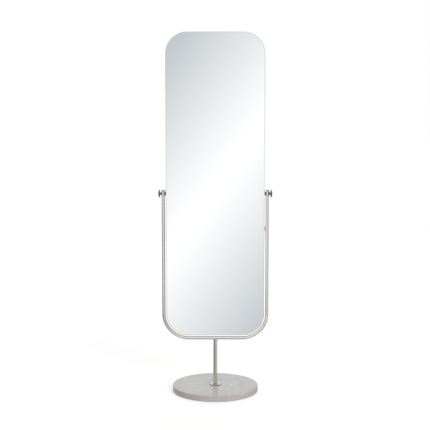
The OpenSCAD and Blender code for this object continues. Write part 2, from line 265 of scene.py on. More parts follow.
def weigh(*shares):
    """The sum of patterns, each taken with its weight."""
    parts = [maths("MULTIPLY", pattern, weight) for pattern, weight in shares]
    total = parts[0]
    for part in parts[1:]:
        total = maths("ADD", total, part)
    return total


def spread(value, low, high, start=0.3, end=0.7):
    """A noise value widened to run from low to high."""
    return feed("ShaderNodeMapRange", {0: value, 1: start, 2: end, 3: low, 4: high}).outputs[0]


def finish_surface(material, colour, roughness, height=None, depth=0.0001):
    """Joins a pattern's colour, roughness and relief to a material. The depth is in metres."""
    tree = material.node_tree
    shader = tree.nodes["Principled BSDF"]
    tree.links.new(colour, shader.inputs["Base Color"])
    tree.links.new(roughness, shader.inputs["Roughness"])
    if height is not None:
        relief = feed("ShaderNodeBump", {"Strength": 1.0, "Distance": depth, "Height": height})
        tree.links.new(relief.outputs[0], shader.inputs["Normal"])


def dress(material, *nodes):
    """Gives a material to CAD nodes that are shown as they are."""
    for name in nodes:
        frame["nodes"][name].data.materials.clear()
        frame["nodes"][name].data.materials.append(material)


felt = new_material(
    "pressed_felt", Sheen_Weight=0.3, Sheen_Roughness=0.6, Specular_IOR_Level=0.2)
fibres = grain(felt, 1400, 6, warp=0.6)
tufts = grain(felt, 160, 3)
fuzz = weigh((fibres, 0.7), (tufts, 0.3))
finish_surface(
    felt,
    colour=ramp(fuzz, (0.3, (0.060, 0.058, 0.055)), (0.7, (0.150, 0.146, 0.140))),
    roughness=spread(fuzz, 0.86, 1.0),
    height=fuzz, depth=0.0004)
dress(felt, "base_pad")


# ---- Stone foot ----
# A disc of pale grey marble, sawn round, with its rim eased and its top polished, so that the post
# shows in it faintly. A pocket bored from below takes the bolt's head and washers.
def new_shape(kind, scale=(1, 1, 1), **settings):
    """A basic shape with its place fixed in its mesh. It is left open, with nothing in it selected."""
    if bpy.context.mode != "OBJECT":
        bpy.ops.object.mode_set(mode="OBJECT")
    getattr(bpy.ops.mesh, f"primitive_{kind}_add")(**settings)
    piece = bpy.context.object
    piece.scale = scale
    bpy.ops.object.transform_apply(location=True, rotation=True, scale=True)
    bpy.ops.object.mode_set(mode="EDIT")
    bpy.ops.mesh.select_mode(type="VERT")
    bpy.ops.mesh.select_all(action="DESELECT")
    return piece


def round_blank(sides, radius, bottom, top, turn=0.0):
    """A round blank about the upright axis, between two heights."""
    return new_shape(
        "cylinder", vertices=sides, radius=radius, depth=top - bottom,
        location=(0, 0, (bottom + top) / 2), rotation=(0, 0, turn))


def middle(part):
    """The average of a face's corners, or of an edge's ends."""
    corners = [v.co for v in part.verts]
    return sum(corners, Vector()) / len(corners)


def pick(piece, kind, wanted):
    """Opens a piece and selects those of its faces or edges that are wanted, and no others."""
    if bpy.context.mode == "OBJECT":
        bpy.ops.object.mode_set(mode="EDIT")
    bpy.ops.mesh.select_all(action="DESELECT")
    bpy.ops.mesh.select_mode(type={"faces": "FACE", "edges": "EDGE"}[kind])
    shape = bmesh.from_edit_mesh(piece.data)
    for part in getattr(shape, kind):
        if wanted(part):
            part.select_set(True)
    bmesh.update_edit_mesh(piece.data)


def pick_end(piece, way):
    """Selects the flat many-sided end of a turned piece: the upper one for 1, the lower one for -1."""
    pick(piece, "faces", lambda face: len(face.verts) > 4 and way * face.normal.z > 0.9)


def ease_edges(piece, width, steps, above=-math.inf, below=math.inf, where=lambda place: True):
    """Rounds the sharp edges between two heights that are wanted by their place, or all of them."""
    def chosen(edge):
        sharp = len(edge.link_faces) == 2 and edge.calc_face_angle() > sharp_turn
        place = middle(edge)
        return sharp and above < place.z < below and where(place)
    pick(piece, "edges", chosen)
    bpy.ops.mesh.bevel(offset=width, segments=steps, affect="EDGES", clamp_overlap=True)


def pull(shift):
    """Draws what is selected straight on."""
    bpy.ops.mesh.extrude_region_move(TRANSFORM_OT_translate={"value": shift})


def join_ends(piece):
    """Opens both ends of a turned piece, as they were inset, and lines the bore between them."""
    pick(piece, "faces", lambda face: len(face.verts) > 4)
    bpy.ops.mesh.bridge_edge_loops()


def bore(piece, radius, upper_reach, lower_reach):
    """Bores a turned piece from end to end. Its flat ends reach out to the given radii."""
    for way, reach in ((1, upper_reach), (-1, lower_reach)):
        pick_end(piece, way)
        bpy.ops.mesh.inset(thickness=reach - radius)
    join_ends(piece)


def alone(piece):
    """Leaves edit mode and selects this piece only."""
    if bpy.context.mode != "OBJECT":
        bpy.ops.object.mode_set(mode="OBJECT")
    bpy.ops.object.select_all(action="DESELECT")
    piece.select_set(True)
    bpy.context.view_layer.objects.active = piece


def work(piece, kind, **settings):
    """Finishes a piece with one modifier, which is applied."""
    alone(piece)
    made = piece.modifiers.new(kind.lower(), kind)
    for name, value in settings.items():
        setattr(made, name, value)
    bpy.ops.object.modifier_apply(modifier=made.name)


def hand_over(piece, name, body, slot, material, *nodes, smooth=35):
    """Names and dresses a finished piece, and lets it ride on its body in place of its CAD nodes."""
    alone(piece)
    bpy.ops.object.shade_smooth_by_angle(angle=math.radians(smooth))
    work(piece, "WEIGHTED_NORMAL", keep_sharp=True)
    piece.name = name
    piece.data.name = name
    piece.data.materials.clear()
    piece.data.materials.append(material)
    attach(piece, body)
    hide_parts(*nodes)


sharp_turn = 0.6
stone_low, stone_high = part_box("base_disc")
stone_radius = stone_high.x
stone_ease = 0.0015
pocket_radius = 0.025
pocket_depth = 0.012
stone_bore = 0.0055

stone = round_blank(256, stone_radius, stone_low.z, stone_high.z)
ease_edges(stone, stone_ease, 6)
pick_end(stone, -1)
bpy.ops.mesh.inset(thickness=stone_radius - stone_ease - pocket_radius)
pull((0, 0, pocket_depth))
bore(stone, stone_bore, stone_radius - stone_ease, pocket_radius)

marble = new_material("pale_marble")
clouds = grain(marble, 7, 6, stretch=(1, 0.55, 1), turn=(0, 0, 0.5), warp=1.2)
patches = grain(marble, 26, 5, stretch=(1, 0.6, 1), turn=(0, 0, 0.9), warp=0.8)
crystals = grain(marble, 900, 2)
tone = ramp(
    clouds,
    (0.30, (0.392, 0.366, 0.372)), (0.48, (0.431, 0.404, 0.412)), (0.62, (0.460, 0.433, 0.440)))
tone = blend_colours(spread(patches, 0.0, 0.55, 0.52, 0.70), tone, (0.440, 0.418, 0.385))


def vein_lines(scale, thickness, turn, warp):
    """Thin wandering lines, from 1 on a line to 0 beside it."""
    field = grain(marble, scale, 4, stretch=(1, 0.35, 1), turn=turn, warp=warp)
    off_line = maths("ABSOLUTE", maths("SUBTRACT", field, 0.5))
    return spread(off_line, 1.0, 0.0, 0.0, thickness)


dark_veins = vein_lines(5, 0.012, (0, 0, 0.6), 2.0)
dark_veins = maths("MULTIPLY", dark_veins, spread(clouds, 0.0, 0.42, 0.42, 0.6))
pale_veins = maths("MULTIPLY", vein_lines(9, 0.02, (0, 0, 1.1), 1.4), 0.35)
sparkle = spread(crystals, 0.0, 0.08, 0.45, 0.75)
tone = blend_colours(dark_veins, tone, (0.300, 0.290, 0.285))
tone = blend_colours(pale_veins, tone, (0.560, 0.550, 0.545))
tone = blend_colours(sparkle, tone, (0.56, 0.55, 0.55))
finish_surface(
    marble,
    colour=tone,
    roughness=maths("MULTIPLY_ADD", dark_veins, 0.15, spread(patches, 0.13, 0.20)),
    height=weigh((crystals, 0.3), (dark_veins, -1.0)), depth=0.000008)
hand_over(stone, "stone_foot", "stand", "marble", marble, "base_disc", smooth=20)


# ---- Fastening under the stone ----
# A zinc-plated steel bolt with a large washer and a spring washer pulls the post down on the
# stone through its bore. The head is pressed to a hexagon and its corners are turned off.
def cut_with(piece, *tools, operation="DIFFERENCE"):
    """Cuts a piece with other shapes, which are used up. INTERSECT keeps what both share, UNION all."""
    tool = tools[0]
    alone(tool)
    if len(tools) > 1:
        for other in tools:
            other.select_set(True)
        bpy.ops.object.join()
    work(piece, "BOOLEAN", object=tool, operation=operation, solver="EXACT")
    bpy.data.objects.remove(tool)


def rod(radius, length, centre, axis, sides=48):
    """A plain round rod along an axis, to be worked on, joined on or used to cut a hole."""
    lie = {"x": (0, math.radians(90), 0), "y": (math.radians(90), 0, 0), "z": (0, 0, 0)}[axis]
    return new_shape(
        "cylinder", vertices=sides, radius=radius, depth=length, location=centre, rotation=lie)


bolt_low, bolt_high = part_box("base_bolt")
hex_radius = (bolt_high.x - bolt_low.x) / 2
hex_height = 0.0064
hex_top = bolt_low.z + hex_height
hex_middle = bolt_low.z + hex_height / 2
hex_chamfer = 0.0011
shank_radius = 0.005
shank_chamfer = 0.0006
washer_bore = 0.0052
washer_ease = 0.0003
hair = 0.0001

turned_blank = round_blank(96, hex_radius, bolt_low.z, hex_top)
ease_edges(turned_blank, hex_chamfer, 2, below=hex_middle)
bolt = round_blank(6, hex_radius, bolt_low.z, hex_top, turn=math.radians(30))
cut_with(bolt, turned_blank, operation="INTERSECT")
shank = rod(shank_radius, bolt_high.z - hex_middle, (0, 0, (bolt_high.z + hex_middle) / 2), "z")
ease_edges(shank, shank_chamfer, 2, above=bolt_high.z - hair)
cut_with(bolt, shank, operation="UNION")

zinc = new_material("zinc_plate", Metallic=1.0)
flow = grain(zinc, 260, 4, warp=1.0)
drawn = grain(zinc, 2400, 2, stretch=(1, 1, 0.08))
finish_surface(
    zinc,
    colour=ramp(
        flow, (0.3, (0.56, 0.57, 0.58)), (0.5, (0.66, 0.655, 0.63)), (0.7, (0.60, 0.61, 0.64))),
    roughness=spread(weigh((flow, 0.5), (drawn, 0.5)), 0.26, 0.46),
    height=drawn, depth=0.00002)
hand_over(bolt, "foot_bolt", "stand", "zinc_steel", zinc, "base_bolt", smooth=25)
dress(zinc, "base_lock_washer", "post_foot_plug", "post_top_plug")


def turn_ring(node, axis, hole_radius, ease):
    """A ring in the place of a turned CAD node, with its outer rims eased."""
    low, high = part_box(node)
    across, along = ("x", "z") if axis == "z" else ("z", "x")
    radius = (getattr(high, across) - getattr(low, across)) / 2
    length = getattr(high, along) - getattr(low, along)
    piece = rod(radius, length, (low + high) / 2, axis, sides=128)
    ease_edges(piece, ease, 3)
    pick(piece, "faces", lambda face: len(face.verts) > 4)
    bpy.ops.mesh.inset(thickness=radius - ease - hole_radius, use_individual=True)
    join_ends(piece)
    return piece


foot_washer = turn_ring("base_washer", "z", washer_bore, washer_ease)
hand_over(foot_washer, "foot_washer", "stand", "zinc_steel", zinc, "base_washer")

# ---- Flange ----
# A thin turned disc under the post that spreads its pull on the stone and hides the bore.
# It is plated steel with a rounded rim. Its top is polished, and its edge has a rougher turned finish with
# a much darker tint, which is painted shade for the dark reflection and contact shadow along the rim.
flange_low, flange_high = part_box("base_flange")
flange_radius = flange_high.x
flange_bore = 0.0052
flange_round = 0.001
flange_chamfer = 0.001

flange = round_blank(128, flange_radius, flange_low.z, flange_high.z)
ease_edges(flange, flange_round, 6, above=flange_high.z - hair)
ease_edges(flange, flange_chamfer, 1, below=flange_low.z + hair)
bore(flange, flange_bore, flange_radius - flange_round, flange_radius - flange_chamfer)


def plated(name, tint, low_roughness, high_roughness, source="Object", stretch=(1, 1, 1), line_scale=2600):
    """Nickel plate over brushed steel: fine lines under the plate, soft clouds in its shine."""
    material = new_material(name, Metallic=1.0)
    lines = grain(material, line_scale, 3, stretch=stretch, source=source)
    clouds = grain(material, 35, 3, source=source)
    handled = grain(material, 9, 5, source=source, warp=0.5)
    dull = weigh((lines, 0.55), (clouds, 0.25), (handled, 0.20))
    darker = tuple(channel * 0.96 for channel in tint)
    paler = tuple(min(1.0, channel * 1.03) for channel in tint)
    finish_surface(
        material,
        colour=ramp(dull, (0.34, darker), (0.66, paler)),
        roughness=spread(dull, low_roughness, high_roughness, 0.36, 0.64),
        height=lines, depth=0.000003)
    return material


def also(piece, material, wanted):
    """Gives another material to those faces of a finished piece that are wanted."""
    piece.data.materials.append(material)
    for face in piece.data.polygons:
        if wanted(face):
            face.material_index = len(piece.data.materials) - 1


polished_nickel = plated("polished_nickel", (0.58, 0.558, 0.530), 0.05, 0.09, stretch=(1, 1, 0.2))
# The rim's dark tint is painted shade: it stands in for the dark reflection and contact shadow at the
# flange's edge.
painted_shade_rim_nickel = plated("painted_shade_rim_nickel", (0.30, 0.288, 0.274), 0.14, 0.24, stretch=(1, 1, 0.2))
hand_over(flange, "post_flange", "stand", "nickel", polished_nickel, "base_flange")
also(flange, painted_shade_rim_nickel, lambda face: abs(face.normal.z) < 0.9)

# ---- Post ----
# A straight steel tube, satin nickel plated. Plugs pressed into both its ends take the foot's
# bolt and the yoke's stud. Both ends are squared off, and the lower one has a wider chamfer, painted
# nearly black as painted shade, so that the post stands on a thin dark shadow line.
post_low, post_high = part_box("post_tube")
post_radius = post_high.x
post_wall = 0.0015
broken_edge = 0.0003
post_chamfer = 0.0012

post = round_blank(96, post_radius, post_low.z, post_high.z)
ease_edges(post, broken_edge, 2, above=post_high.z - hair)
ease_edges(post, post_chamfer, 2, below=post_low.z + hair)
bore(post, post_radius - post_wall, post_radius - broken_edge, post_radius - post_chamfer)


def on_chamfer(face):
    """Whether a face of the post belongs to the slope at its foot."""
    return face.center.z < post_low.z + post_chamfer and -0.95 < face.normal.z < -0.05


upright_nickel = plated("upright_nickel", (0.70, 0.672, 0.640), 0.10, 0.15, stretch=(1, 1, 0.02))
# Nearly black nickel on the chamfer at the post's foot: painted shade for the dark joint line where the
# post meets the flange.
painted_shade_foot_nickel = plated("painted_shade_foot_nickel", (0.07, 0.067, 0.063), 0.30, 0.45)
hand_over(post, "post", "stand", "nickel", upright_nickel, "post_tube")
also(post, painted_shade_foot_nickel, on_chamfer)

# ---- Boss and weld ----
# A turned boss under the yoke's bar, coped to fit it and welded all round. Its threaded stud
# screws into the post. The bead was dressed by hand before plating, so it is soft and uneven.
boss_low, boss_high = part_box("yoke_stud")
yoke_low, yoke_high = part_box("yoke_tube")
tube_radius = (yoke_high.y - yoke_low.y) / 2
bar_height = yoke_low.z + tube_radius
boss_stud_radius = 0.004
fit_gap = 0.00005

boss = round_blank(96, post_radius, post_high.z, boss_high.z)
ease_edges(boss, broken_edge, 2, below=post_high.z + hair)
pick_end(boss, -1)
bpy.ops.mesh.inset(thickness=post_radius - broken_edge - boss_stud_radius)
pull((0, 0, boss_low.z - post_high.z))
cut_with(boss, rod(tube_radius + fit_gap, 4 * post_radius, (0, 0, bar_height), "x", sides=96))
hand_over(boss, "yoke_boss", "stand", "nickel", upright_nickel, "yoke_stud", smooth=25)

bead_radius = 0.0013
bead_reach = 0.0062
bead_flattening = 1.15
bead_sink = 0.0003
bead_drop = 0.0001
bead_lean = 0.0004
ripple_height = 0.00012
ripple_count = 42
bead = new_shape(
    "torus", major_radius=post_radius, minor_radius=bead_radius, major_segments=168,
    minor_segments=14, location=(0, 0, 0))
alone(bead)
for point in bead.data.vertices:
    turn = math.atan2(point.co.y, point.co.x)
    out = math.hypot(point.co.x, point.co.y) - post_radius
    up = point.co.z
    swell = 1 + ripple_height / bead_radius * math.sin(ripple_count * turn + 2 * math.sin(3 * turn))
    across = bead_reach * math.tanh(post_radius * math.sin(turn) / bead_reach * bead_flattening)
    foot_of_bead = bar_height - math.sqrt(tube_radius ** 2 - across ** 2)
    lean = bead_lean * abs(across) / bead_reach
    point.co.x = (post_radius - bead_sink + out * swell) * math.cos(turn)
    point.co.y = across * (1 + out * swell / post_radius) + math.copysign(lean, across)
    point.co.z = foot_of_bead + up * swell - bead_drop
weld_nickel = plated("weld_nickel", (0.58, 0.555, 0.525), 0.26, 0.40, line_scale=700)
hand_over(bead, "boss_weld", "stand", "nickel", weld_nickel, smooth=60)

# ---- Yoke ----
# One length of round steel tube, bent on a mandrel to a wide U that carries the mirror between
# its arms, then brushed along its length and plated with satin nickel.
arm_place = yoke_high.x - tube_radius
bend_radius = 0.100
bend_height = bar_height + bend_radius
bar_half = arm_place - bend_radius
bend_steps = 32
pivot_height = frame["joints"][0]["pos_m"][2]
bush_hole_radius = 0.005
tube_wall = 0.0015


def bend(centre):
    """Bends the open end of a run through a quarter turn round an axis that points to the back."""
    bpy.ops.mesh.spin(steps=bend_steps, angle=math.radians(-90), center=centre, axis=(0, 1, 0))


yoke = new_shape("circle", vertices=64, radius=tube_radius, location=(arm_place, 0, yoke_high.z))
bpy.ops.mesh.select_all(action="SELECT")
pull((0, 0, bend_height - yoke_high.z))
bend((bar_half, 0, bend_height))
pull((-2 * bar_half, 0, 0))
bend((-bar_half, 0, bend_height))
pull((0, 0, yoke_high.z - bend_height))


def close_up(reach):
    """Joins corners that lie within reach of each other, and turns the faces of a skin outwards."""
    bpy.ops.mesh.select_all(action="SELECT")
    bpy.ops.mesh.remove_doubles(threshold=reach)
    bpy.ops.mesh.normals_make_consistent(inside=False)


close_up(0.1 * hair)
work(yoke, "SOLIDIFY", thickness=tube_wall, offset=-1.0, use_rim=True)
cut_with(yoke, rod(bush_hole_radius, 3 * arm_place, (0, 0, pivot_height), "x", sides=64))

# The tube's skin laid out flat, so that the brushing follows the bends: u runs round it, v along it
skin = yoke.data.uv_layers.new(name="skin")


def along_and_round(place):
    """How far a point of the tube lies along the centre line from the middle, and its angle round it."""
    side = math.copysign(1, place.x)
    reach = abs(place.x) - bar_half
    rise = place.z - bend_height
    if rise >= 0:
        length, outward = bar_half + bend_radius * math.pi / 2 + rise, abs(place.x) - arm_place
    elif reach <= 0:
        length, outward = abs(place.x), bar_height - place.z
    else:
        length = bar_half + bend_radius * math.atan2(reach, -rise)
        outward = math.hypot(reach, rise) - bend_radius
    return side * length, math.atan2(place.y, outward)


for face in yoke.data.polygons:
    first_turn = None
    for corner in face.loop_indices:
        length, turn = along_and_round(yoke.data.vertices[yoke.data.loops[corner].vertex_index].co)
        first_turn = turn if first_turn is None else first_turn
        turn += 2 * math.pi * round((first_turn - turn) / (2 * math.pi))
        skin.data[corner].uv = (turn * tube_radius, length)

drawn_nickel = plated(
    "drawn_nickel", (0.80, 0.775, 0.74), 0.08, 0.13, source="UV", stretch=(1, 0.02, 1))
hand_over(yoke, "yoke", "stand", "nickel", drawn_nickel, "yoke_tube")

# ---- Caps in the arm ends ----
# Turned steel plugs, plated darker than the tube and pressed into its open ends: a low dome on a
# short rim covers the tube's wall, and the stem below grips inside it.
cap_low, cap_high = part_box("right_tube_cap")
cap_rim = 0.0007
cap_rise = cap_high.z - yoke_high.z - cap_rim
cap_stem_radius = tube_radius - tube_wall - fit_gap


def domed_plug(radius, rim, rise, stem_radius, stem_length):
    """A low round dome with a rim below it, and a stem that goes down from z = 0."""
    plug = new_shape("uv_sphere", segments=64, ring_count=32, radius=radius, location=(0, 0, 0))
    pick(plug, "faces", lambda face: middle(face).z < 0)
    bpy.ops.mesh.delete(type="FACE")
    bpy.ops.mesh.select_all(action="SELECT")
    bpy.ops.transform.resize(value=(1, 1, rise / radius), center_override=(0, 0, 0))
    bpy.ops.transform.translate(value=(0, 0, rim))
    pick(plug, "edges", lambda edge: edge.is_boundary)
    pull((0, 0, -rim))
    pull((0, 0, 0))
    inward = stem_radius / radius
    bpy.ops.transform.resize(value=(inward, inward, 1), center_override=(0, 0, 0))
    pull((0, 0, -stem_length))
    bpy.ops.mesh.edge_face_add()
    close_up(0.01 * hair)
    ease_edges(plug, broken_edge, 2, below=-0.9 * stem_length)
    return plug


def place_at(piece, shift, turn=(0, 0, 0)):
    """Turns a finished shape about the origin, moves it, and fixes its place in its mesh."""
    alone(piece)
    piece.rotation_euler = turn
    piece.location = shift
    bpy.ops.object.transform_apply(location=True, rotation=True, scale=True)
    return piece


def copy_at(piece, shift, turn=(0, 0, 0)):
    """A second piece of the same shape, with a mesh of its own."""
    alone(piece)
    bpy.ops.object.duplicate()
    return place_at(bpy.context.object, shift, turn)


def hand_over_pair(piece, name, node, body, slot, material):
    """Hands over the right piece, and its copy on the left, turned half round the post. The side
    takes the place of {} in the body's name."""
    other = copy_at(piece, (0, 0, 0), (0, 0, math.pi))
    for shape, side in ((piece, "right"), (other, "left")):
        hand_over(shape, f"{side}_{name}", body.format(side), slot, material, f"{side}_{node}")


end_cap = domed_plug(tube_radius, cap_rim, cap_rise, cap_stem_radius, yoke_high.z - cap_low.z)
place_at(end_cap, (arm_place, 0, yoke_high.z))


def dark_plated(name, tint, low_roughness, high_roughness):
    """Dark nickel over turned steel: rings left by the lathe, and a few rubbed paler spots."""
    material = new_material(name, Metallic=1.0)
    rings = grain(material, 3200, 2, stretch=(1, 0.05, 0.05))
    rubbed = grain(material, 90, 4, warp=0.8)
    worn = tuple(channel * 1.35 for channel in tint)
    shine = weigh((rings, 0.5), (rubbed, 0.5))
    finish_surface(
        material,
        colour=ramp(rubbed, (0.40, tint), (0.72, worn)),
        roughness=spread(shine, low_roughness, high_roughness, 0.36, 0.64),
        height=rings, depth=0.000006)
    return material


cap_nickel = dark_plated("dark_cap_nickel", (0.100, 0.095, 0.089), 0.16, 0.28)
hand_over_pair(end_cap, "end_cap", "tube_cap", "stand", "dark_nickel", cap_nickel)


# ---- Bushes in the arms ----
# Natural nylon sleeves pressed across the arms, with their ends cut to the tube's round. The
# pivot studs turn in them without wearing the plate.
def grained(name, low_tone, high_tone, soft, fine, shine, depth, **sockets):
    """A material that a soft pattern tints, while a fine one gives it its shine and its relief."""
    material = new_material(name, **sockets)
    marks = grain(material, **fine)
    finish_surface(
        material,
        colour=ramp(grain(material, **soft), (0.3, low_tone), (0.7, high_tone)),
        roughness=spread(marks, *shine),
        height=marks, depth=depth)
    return material


nylon = grained(
    "natural_nylon", (0.70, 0.68, 0.62), (0.80, 0.785, 0.74),
    soft={"scale": 220, "detail": 4, "warp": 0.6},
    fine={"scale": 5200, "detail": 2, "stretch": (0.1, 1, 1)},
    shine=(0.36, 0.54), depth=0.00002, Specular_IOR_Level=0.4)
dress(nylon, "left_pivot_bush", "right_pivot_bush")

# ---- Bumper ----
# A small moulded block of grey rubber, hollowed to the right arm's round and glued to it, so
# that the frame can't knock against the bare tube.
bumper_low, bumper_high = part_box("side_bumper")
bumper_round = 0.0009
bumper_back = arm_place - tube_radius / 2
bumper_middle = (bumper_low.z + bumper_high.z) / 2
arm_piece = 0.04


def block_between(low, high):
    """A square block between two corners."""
    low, high = Vector(low), Vector(high)
    return new_shape("cube", high - low, size=1, location=(low + high) / 2)


bumper = block_between(bumper_low, (bumper_back, bumper_high.y, bumper_high.z))
ease_edges(bumper, bumper_round, 5)
cut_with(bumper, rod(tube_radius + fit_gap, arm_piece, (arm_place, 0, bumper_middle), "z", sides=96))
rubber = grained(
    "grey_rubber", (0.395, 0.395, 0.385), (0.470, 0.470, 0.462),
    soft={"scale": 260, "detail": 5, "warp": 0.7}, fine={"scale": 3400, "detail": 3},
    shine=(0.58, 0.78), depth=0.00004, Specular_IOR_Level=0.35)
hand_over(bumper, "arm_bumper", "stand", "grey_rubber", rubber, "side_bumper")

# ---- Mirror frame ----
# A drawn aluminium channel, bent to the mirror's outline with its two ends meeting in the middle
# of the bottom. Its narrow front lip holds the glass, and the wider rear lip takes the clips.
# It is brushed along its length and anodised, bright on the lips and satin on the outer wall.
frame_low, frame_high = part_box("mirror_frame")
corner_radius = 0.088
front_lip = 0.0035
rear_lip = 0.006
lip_thickness = 0.0012
lip_ease = 0.00055
seam_width = 0.0002
stud_hole_radius = 0.0032
block_screw_inset = 0.004
block_screw_rise = 0.014
block_screw_hole = 0.0017
splice_screw_reach = 0.024
splice_screw_height = frame_low.z + 0.0042
splice_screw_hole = 0.0022
lip_drill = 0.004
overrun = 0.001


def rounded_slab(low, high, radius):
    """An upright slab between two corners, with its outline's corners rounded."""
    slab = block_between(low, high)
    pick(slab, "edges", lambda edge: abs(edge.verts[0].co.y - edge.verts[1].co.y) > (high.y - low.y) / 2)
    bpy.ops.mesh.bevel(offset=radius, segments=32, affect="EDGES")
    return slab


channel = rounded_slab(frame_low, frame_high, corner_radius)
for way, lip in ((-1, front_lip), (1, rear_lip)):
    pick(channel, "faces", lambda face: way * face.normal.y > 0.99)
    bpy.ops.mesh.inset(thickness=lip)
    bpy.ops.mesh.delete(type="FACE")
work(channel, "SOLIDIFY", thickness=lip_thickness, offset=-1.0, use_rim=True, use_even_offset=True)
ease_edges(channel, lip_ease, 3, where=lambda place: abs(place.y) > frame_high.y - hair)

block_screw_places = [
    (side * (frame_high.x - block_screw_inset), pivot_height + rise)
    for side in (-1, 1) for rise in (-block_screw_rise, block_screw_rise)]
splice_screw_places = [(side * splice_screw_reach, splice_screw_height) for side in (-1, 1)]
cutters = [rod(stud_hole_radius, 3 * frame_high.x, (0, 0, pivot_height), "x")]
for places, hole_radius in (
        (block_screw_places, block_screw_hole), (splice_screw_places, splice_screw_hole)):
    for across, height in places:
        cutters.append(rod(hole_radius, lip_drill, (across, frame_high.y, height), "y"))
cutters.append(block_between(
    (-seam_width / 2, frame_low.y - overrun, frame_low.z - overrun),
    (seam_width / 2, frame_high.y + overrun, frame_low.z + rear_lip + overrun)))
cut_with(channel, *cutters)

# The channel's skin laid out flat, so that the brushing follows its corners
outline = channel.data.uv_layers.new(name="skin")
frame_middle = (frame_low.z + frame_high.z) / 2
straight_x = frame_high.x - corner_radius
straight_z = frame_high.z - frame_middle - corner_radius


def round_the_frame(place):
    """How far a point lies inside the frame's outline, and how far along it from the side's middle."""
    reach = abs(place.x) - straight_x
    rise = abs(place.z - frame_middle) - straight_z
    if rise <= 0:
        return corner_radius - reach, rise + straight_z
    if reach <= 0:
        return corner_radius - rise, straight_z + corner_radius * math.pi / 2 - reach
    length = straight_z + corner_radius * math.atan2(rise, reach)
    return corner_radius - math.hypot(reach, rise), length


for corner in channel.data.loops:
    place = channel.data.vertices[corner.vertex_index].co
    inset, length = round_the_frame(place)
    outline.data[corner.index].uv = (place.y + math.copysign(inset, place.y), length)


def anodised(name, low_tone, high_tone, stroke_scale, cloud_scale, shine, depth, metallic):
    """Anodised aluminium: strokes of the brush along the channel, and soft clouds in its shine."""
    material = new_material(name, Metallic=metallic)
    strokes = grain(material, stroke_scale, 3, stretch=(1, 0.02, 1), source="UV")
    bloom = grain(material, cloud_scale, 4, source="UV", warp=0.4)
    dull = weigh((strokes, 0.6), (bloom, 0.4))
    finish_surface(
        material,
        colour=ramp(dull, (0.35, low_tone), (0.65, high_tone)),
        roughness=spread(dull, *shine, 0.38, 0.62),
        height=strokes, depth=depth)
    return material


brushed = anodised(
    "brushed_anodised", (0.815, 0.820, 0.820), (0.865, 0.865, 0.860), 2200, 24,
    shine=(0.08, 0.15), depth=0.000003, metallic=1.0)
satin = anodised(
    "satin_anodised", (0.86, 0.865, 0.865), (0.91, 0.91, 0.905), 1500, 30,
    shine=(0.42, 0.52), depth=0.000008, metallic=0.6)
hand_over(channel, "mirror_channel", "mirror", "frame_aluminium", brushed, "mirror_frame", smooth=30)
also(channel, satin, lambda face: round_the_frame(face.center)[0] < hair)

# ---- Glass ----
# Four millimetre float glass, silvered and painted on its back, with its edges ground. It lies in
# the frame against the front lip.
glass_low, glass_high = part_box("mirror_glass")
glass_inset = frame_high.x - glass_high.x
ground_edge = 0.0005

glass = rounded_slab(glass_low, glass_high, corner_radius - glass_inset)
ease_edges(glass, ground_edge, 2)

silvered = new_material("silvered_glass", Metallic=1.0)
wiped = grain(silvered, 5, 5, stretch=(1, 1, 0.4), turn=(0, 0.5, 0), warp=1.5)
lint = grain(silvered, 800, 2)
finish_surface(
    silvered,
    colour=ramp(wiped, (0.3, (0.925, 0.935, 0.940)), (0.7, (0.935, 0.942, 0.945))),
    roughness=maths("ADD", spread(wiped, 0.004, 0.016), spread(lint, 0.0, 0.012, 0.66, 0.80)))
hand_over(glass, "mirror_plate", "mirror", "mirror_glass", silvered, "mirror_glass", smooth=20)

back_paint = grained(
    "mirror_back_paint", (0.175, 0.200, 0.195), (0.215, 0.240, 0.232),
    soft={"scale": 12, "detail": 3, "stretch": (1, 1, 0.2)}, fine={"scale": 900, "detail": 3},
    shine=(0.42, 0.58), depth=0.00002, Specular_IOR_Level=0.4)
also(glass, back_paint, lambda face: face.normal.y > 0.9)
grit = {"scale": 2600, "detail": 3}
ground_glass = grained(
    "ground_glass_edge", (0.30, 0.42, 0.38), (0.42, 0.54, 0.50), soft=grit, fine=grit,
    shine=(0.30, 0.50), depth=0.00002, Specular_IOR_Level=0.6)
also(glass, ground_glass, lambda face: -0.9 < face.normal.y < 0.9)

# ---- Film and foam behind the glass ----
# A tough film stuck to the painted back holds the pieces if the glass breaks, and a sheet of
# white closed-cell foam takes up the play between it and the board.
film = new_material("safety_film", Specular_IOR_Level=0.4)
threads_up = grain(film, 1500, 1, stretch=(1, 1, 0.02))
threads_over = grain(film, 1500, 1, stretch=(0.02, 1, 1))
scrim = maths("MAXIMUM", threads_up, threads_over)
finish_surface(
    film,
    colour=ramp(scrim, (0.45, (0.30, 0.325, 0.345)), (0.7, (0.40, 0.42, 0.44))),
    roughness=spread(scrim, 0.45, 0.65, 0.4, 0.7),
    height=scrim, depth=0.00003)
dress(film, "safety_film")

foam = new_material("white_foam", Specular_IOR_Level=0.2)
spot = where_on(foam)
cells = feed("ShaderNodeTexVoronoi", {"Vector": spot, "Scale": 900.0}).outputs["Distance"]
finish_surface(
    foam,
    colour=ramp(cells, (0.0, (0.72, 0.72, 0.70)), (0.6, (0.84, 0.84, 0.82))),
    roughness=spread(cells, 0.75, 0.95, 0.0, 0.8),
    height=cells, depth=0.0001)
dress(foam, "foam_sheet")

# ---- Backing board ----
# Brown fibreboard with black paper on both faces, sawn to the frame's inside and notched at both
# sides round the pivot blocks. It closes the back.
board_low, board_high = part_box("backing_board")
block_low, block_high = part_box("right_pivot_block")
notch_gap = 0.0005

board = rounded_slab(board_low, board_high, corner_radius - (frame_high.x - board_high.x))
for side in (-1, 1):
    notch_ends = sorted((side * (block_low.x - notch_gap), side * (board_high.x + overrun)))
    cut_with(board, block_between(
        (notch_ends[0], board_low.y - overrun, block_low.z - notch_gap),
        (notch_ends[1], board_high.y + overrun, block_high.z + notch_gap)))

